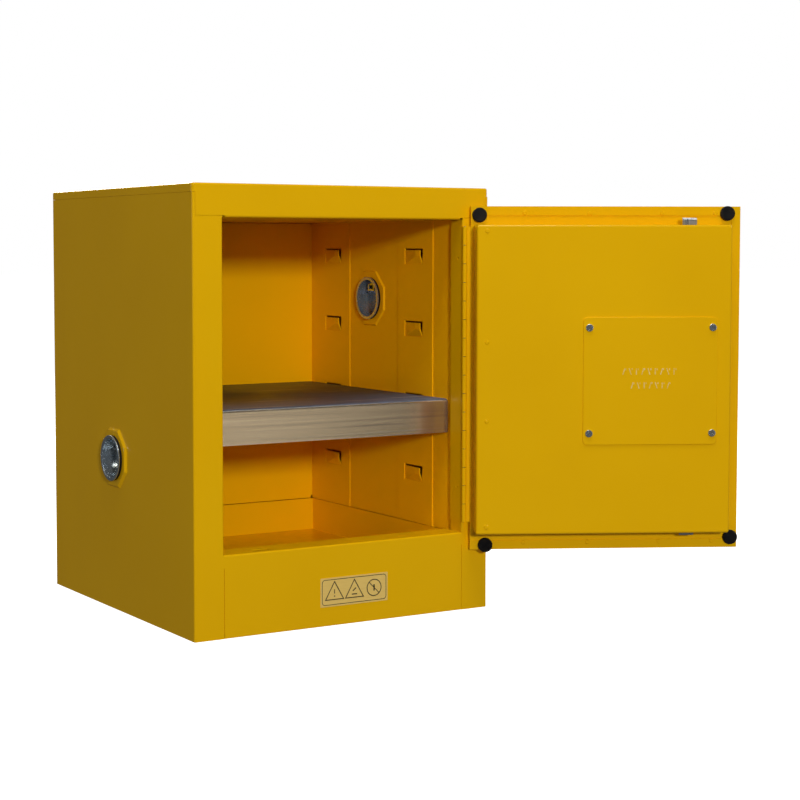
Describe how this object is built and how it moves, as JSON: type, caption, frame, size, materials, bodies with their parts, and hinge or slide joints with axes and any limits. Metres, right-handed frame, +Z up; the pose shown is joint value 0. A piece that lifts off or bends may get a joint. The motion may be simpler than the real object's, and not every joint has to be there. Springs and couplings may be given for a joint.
{
  "type": "flammable storage cabinet",
  "caption": "Counter-top double-wall steel safety cabinet with a sump, a lift-out shelf, screwed vent plugs and one hinged door with a paddle latch and bars.",
  "frame": {"origin": "middle of the body's footprint, on the face it rests on", "axes": "+Z up, +X to the right seen from the front, +Y to the back; the door's front is at -Y"},
  "size_m": [0.7417, 0.6651, 0.5699],
  "materials": {
    "powder_coat": "glossy yellow powder coat",
    "galvanized": "brushed galvanized steel",
    "zinc": "bright zinc plating",
    "bar_steel": "plain bright steel",
    "rubber": "matte black rubber",
    "label": "satin metal plate, printed",
    "black_coat": "satin black powder coat",
    "mesh": "fine wire gauze",
    "bush": "natural nylon"
  },
  "bodies": {
    "cabinet": {"top_cap": "powder_coat", "left_side_panel": "powder_coat", "right_side_panel": "powder_coat", "back_panel": "powder_coat", "base_panel": "powder_coat", "sill_panel": "powder_coat", "left_liner": "powder_coat", "right_liner": "powder_coat", "back_liner": "powder_coat", "ceiling_liner": "powder_coat", "sump_pan": "powder_coat", "left_shelf_rails": "powder_coat", "right_shelf_rails": "powder_coat", "hinge_frame_leaf": "powder_coat", "left_vent_sleeve": "bar_steel", "right_vent_sleeve": "bar_steel", "left_flame_screen": "mesh", "right_flame_screen": "mesh", "hinge_pin": "zinc", "label_plate": "label", "ground_screw": "zinc"},
    "shelf": {"shelf": "galvanized"},
    "door": {"door_outer_pan": "powder_coat", "door_inner_pan": "powder_coat", "hinge_door_leaf": "powder_coat", "latch_cover_plate": "powder_coat", "cover_screws": "zinc", "door_bumpers": "rubber", "handle_dish": "black_coat", "shaft_bushes": "bush", "bar_guides": "bar_steel", "paddle_spring": "bar_steel", "lock_barrel": "zinc", "dish_rivets": "zinc"},
    "paddle": {"paddle": "black_coat", "paddle_shaft": "bar_steel", "latch_rocker": "bar_steel"},
    "upper_bar": {"upper_latch_bar": "bar_steel"},
    "lower_bar": {"lower_latch_bar": "bar_steel"},
    "lock": {"lock_plug": "zinc", "lock_cam": "zinc"},
    "left_outer_seal": {"left_outer_gasket": "rubber"},
    "left_outer_plug": {"left_outer_plug": "zinc"},
    "left_inner_seal": {"left_inner_gasket": "rubber"},
    "left_inner_plug": {"left_inner_plug": "zinc"},
    "right_outer_seal": {"right_outer_gasket": "rubber"},
    "right_outer_plug": {"right_outer_plug": "zinc"},
    "right_inner_seal": {"right_inner_gasket": "rubber"},
    "right_inner_plug": {"right_inner_plug": "zinc"}
  },
  "joints": [
    {"name": "door_hinge", "type": "hinge", "parent": "cabinet", "child": "door", "pos_m": [0.1794, -0.2352, 0.3194], "axis": [0, 0, 1], "range_deg": [-152.3, 6.5]},
    {"name": "shelf_lift", "type": "slide", "parent": "cabinet", "child": "shelf", "axis": [0, 0, 1], "range_m": [0, 0.025]},
    {"name": "paddle_pull", "type": "hinge", "parent": "door", "child": "paddle", "pos_m": [0.38725, -0.35562, 0.363], "axis": [0.8854, -0.4648, 0], "range_deg": [0, 35], "stiffness_Nm_per_rad": 0.35, "springref_deg": -28.65},
    {"name": "upper_bar_slide", "type": "slide", "parent": "door", "child": "upper_bar", "axis": [0, 0, -1], "range_m": [0, 0.006]},
    {"name": "lower_bar_slide", "type": "slide", "parent": "door", "child": "lower_bar", "axis": [0, 0, 1], "range_m": [0, 0.006]},
    {"name": "lock_turn", "type": "hinge", "parent": "door", "child": "lock", "pos_m": [0.3891, -0.35207, 0.259], "axis": [0.4648, 0.8854, 0], "range_deg": [0, 90]},
    {"name": "left_outer_plug_travel", "type": "slide", "parent": "cabinet", "child": "left_outer_seal", "axis": [-1, 0, 0], "range_m": [0, 0.0133]},
    {"name": "left_outer_plug_turn", "type": "hinge", "parent": "left_outer_seal", "child": "left_outer_plug", "pos_m": [-0.22065, 0.014, 0.2068], "axis": [-1, 0, 0], "range_deg": [0, 2160]},
    {"name": "left_inner_plug_travel", "type": "slide", "parent": "cabinet", "child": "left_inner_seal", "axis": [1, 0, 0], "range_m": [0, 0.0133]},
    {"name": "left_inner_plug_turn", "type": "hinge", "parent": "left_inner_seal", "child": "left_inner_plug", "pos_m": [-0.184, 0.014, 0.2068], "axis": [1, 0, 0], "range_deg": [0, 2160]},
    {"name": "right_outer_plug_travel", "type": "slide", "parent": "cabinet", "child": "right_outer_seal", "axis": [1, 0, 0], "range_m": [0, 0.0133]},
    {"name": "right_outer_plug_turn", "type": "hinge", "parent": "right_outer_seal", "child": "right_outer_plug", "pos_m": [0.22065, 0.014, 0.4168], "axis": [1, 0, 0], "range_deg": [0, 2160]},
    {"name": "right_inner_plug_travel", "type": "slide", "parent": "cabinet", "child": "right_inner_seal", "axis": [-1, 0, 0], "range_m": [0, 0.0133]},
    {"name": "right_inner_plug_turn", "type": "hinge", "parent": "right_inner_seal", "child": "right_inner_plug", "pos_m": [0.184, 0.014, 0.4168], "axis": [-1, 0, 0], "range_deg": [0, 2160]}
  ],
  "couplings": [
    {"joint": "upper_bar_slide", "follows": "paddle_pull", "m_per_rad": 0.00939},
    {"joint": "lower_bar_slide", "follows": "paddle_pull", "m_per_rad": 0.00939},
    {"joint": "left_outer_plug_travel", "follows": "left_outer_plug_turn", "m_per_rad": 0.00035014},
    {"joint": "left_inner_plug_travel", "follows": "left_inner_plug_turn", "m_per_rad": 0.00035014},
    {"joint": "right_outer_plug_travel", "follows": "right_outer_plug_turn", "m_per_rad": 0.00035014},
    {"joint": "right_inner_plug_travel", "follows": "right_inner_plug_turn", "m_per_rad": 0.00035014}
  ]
}
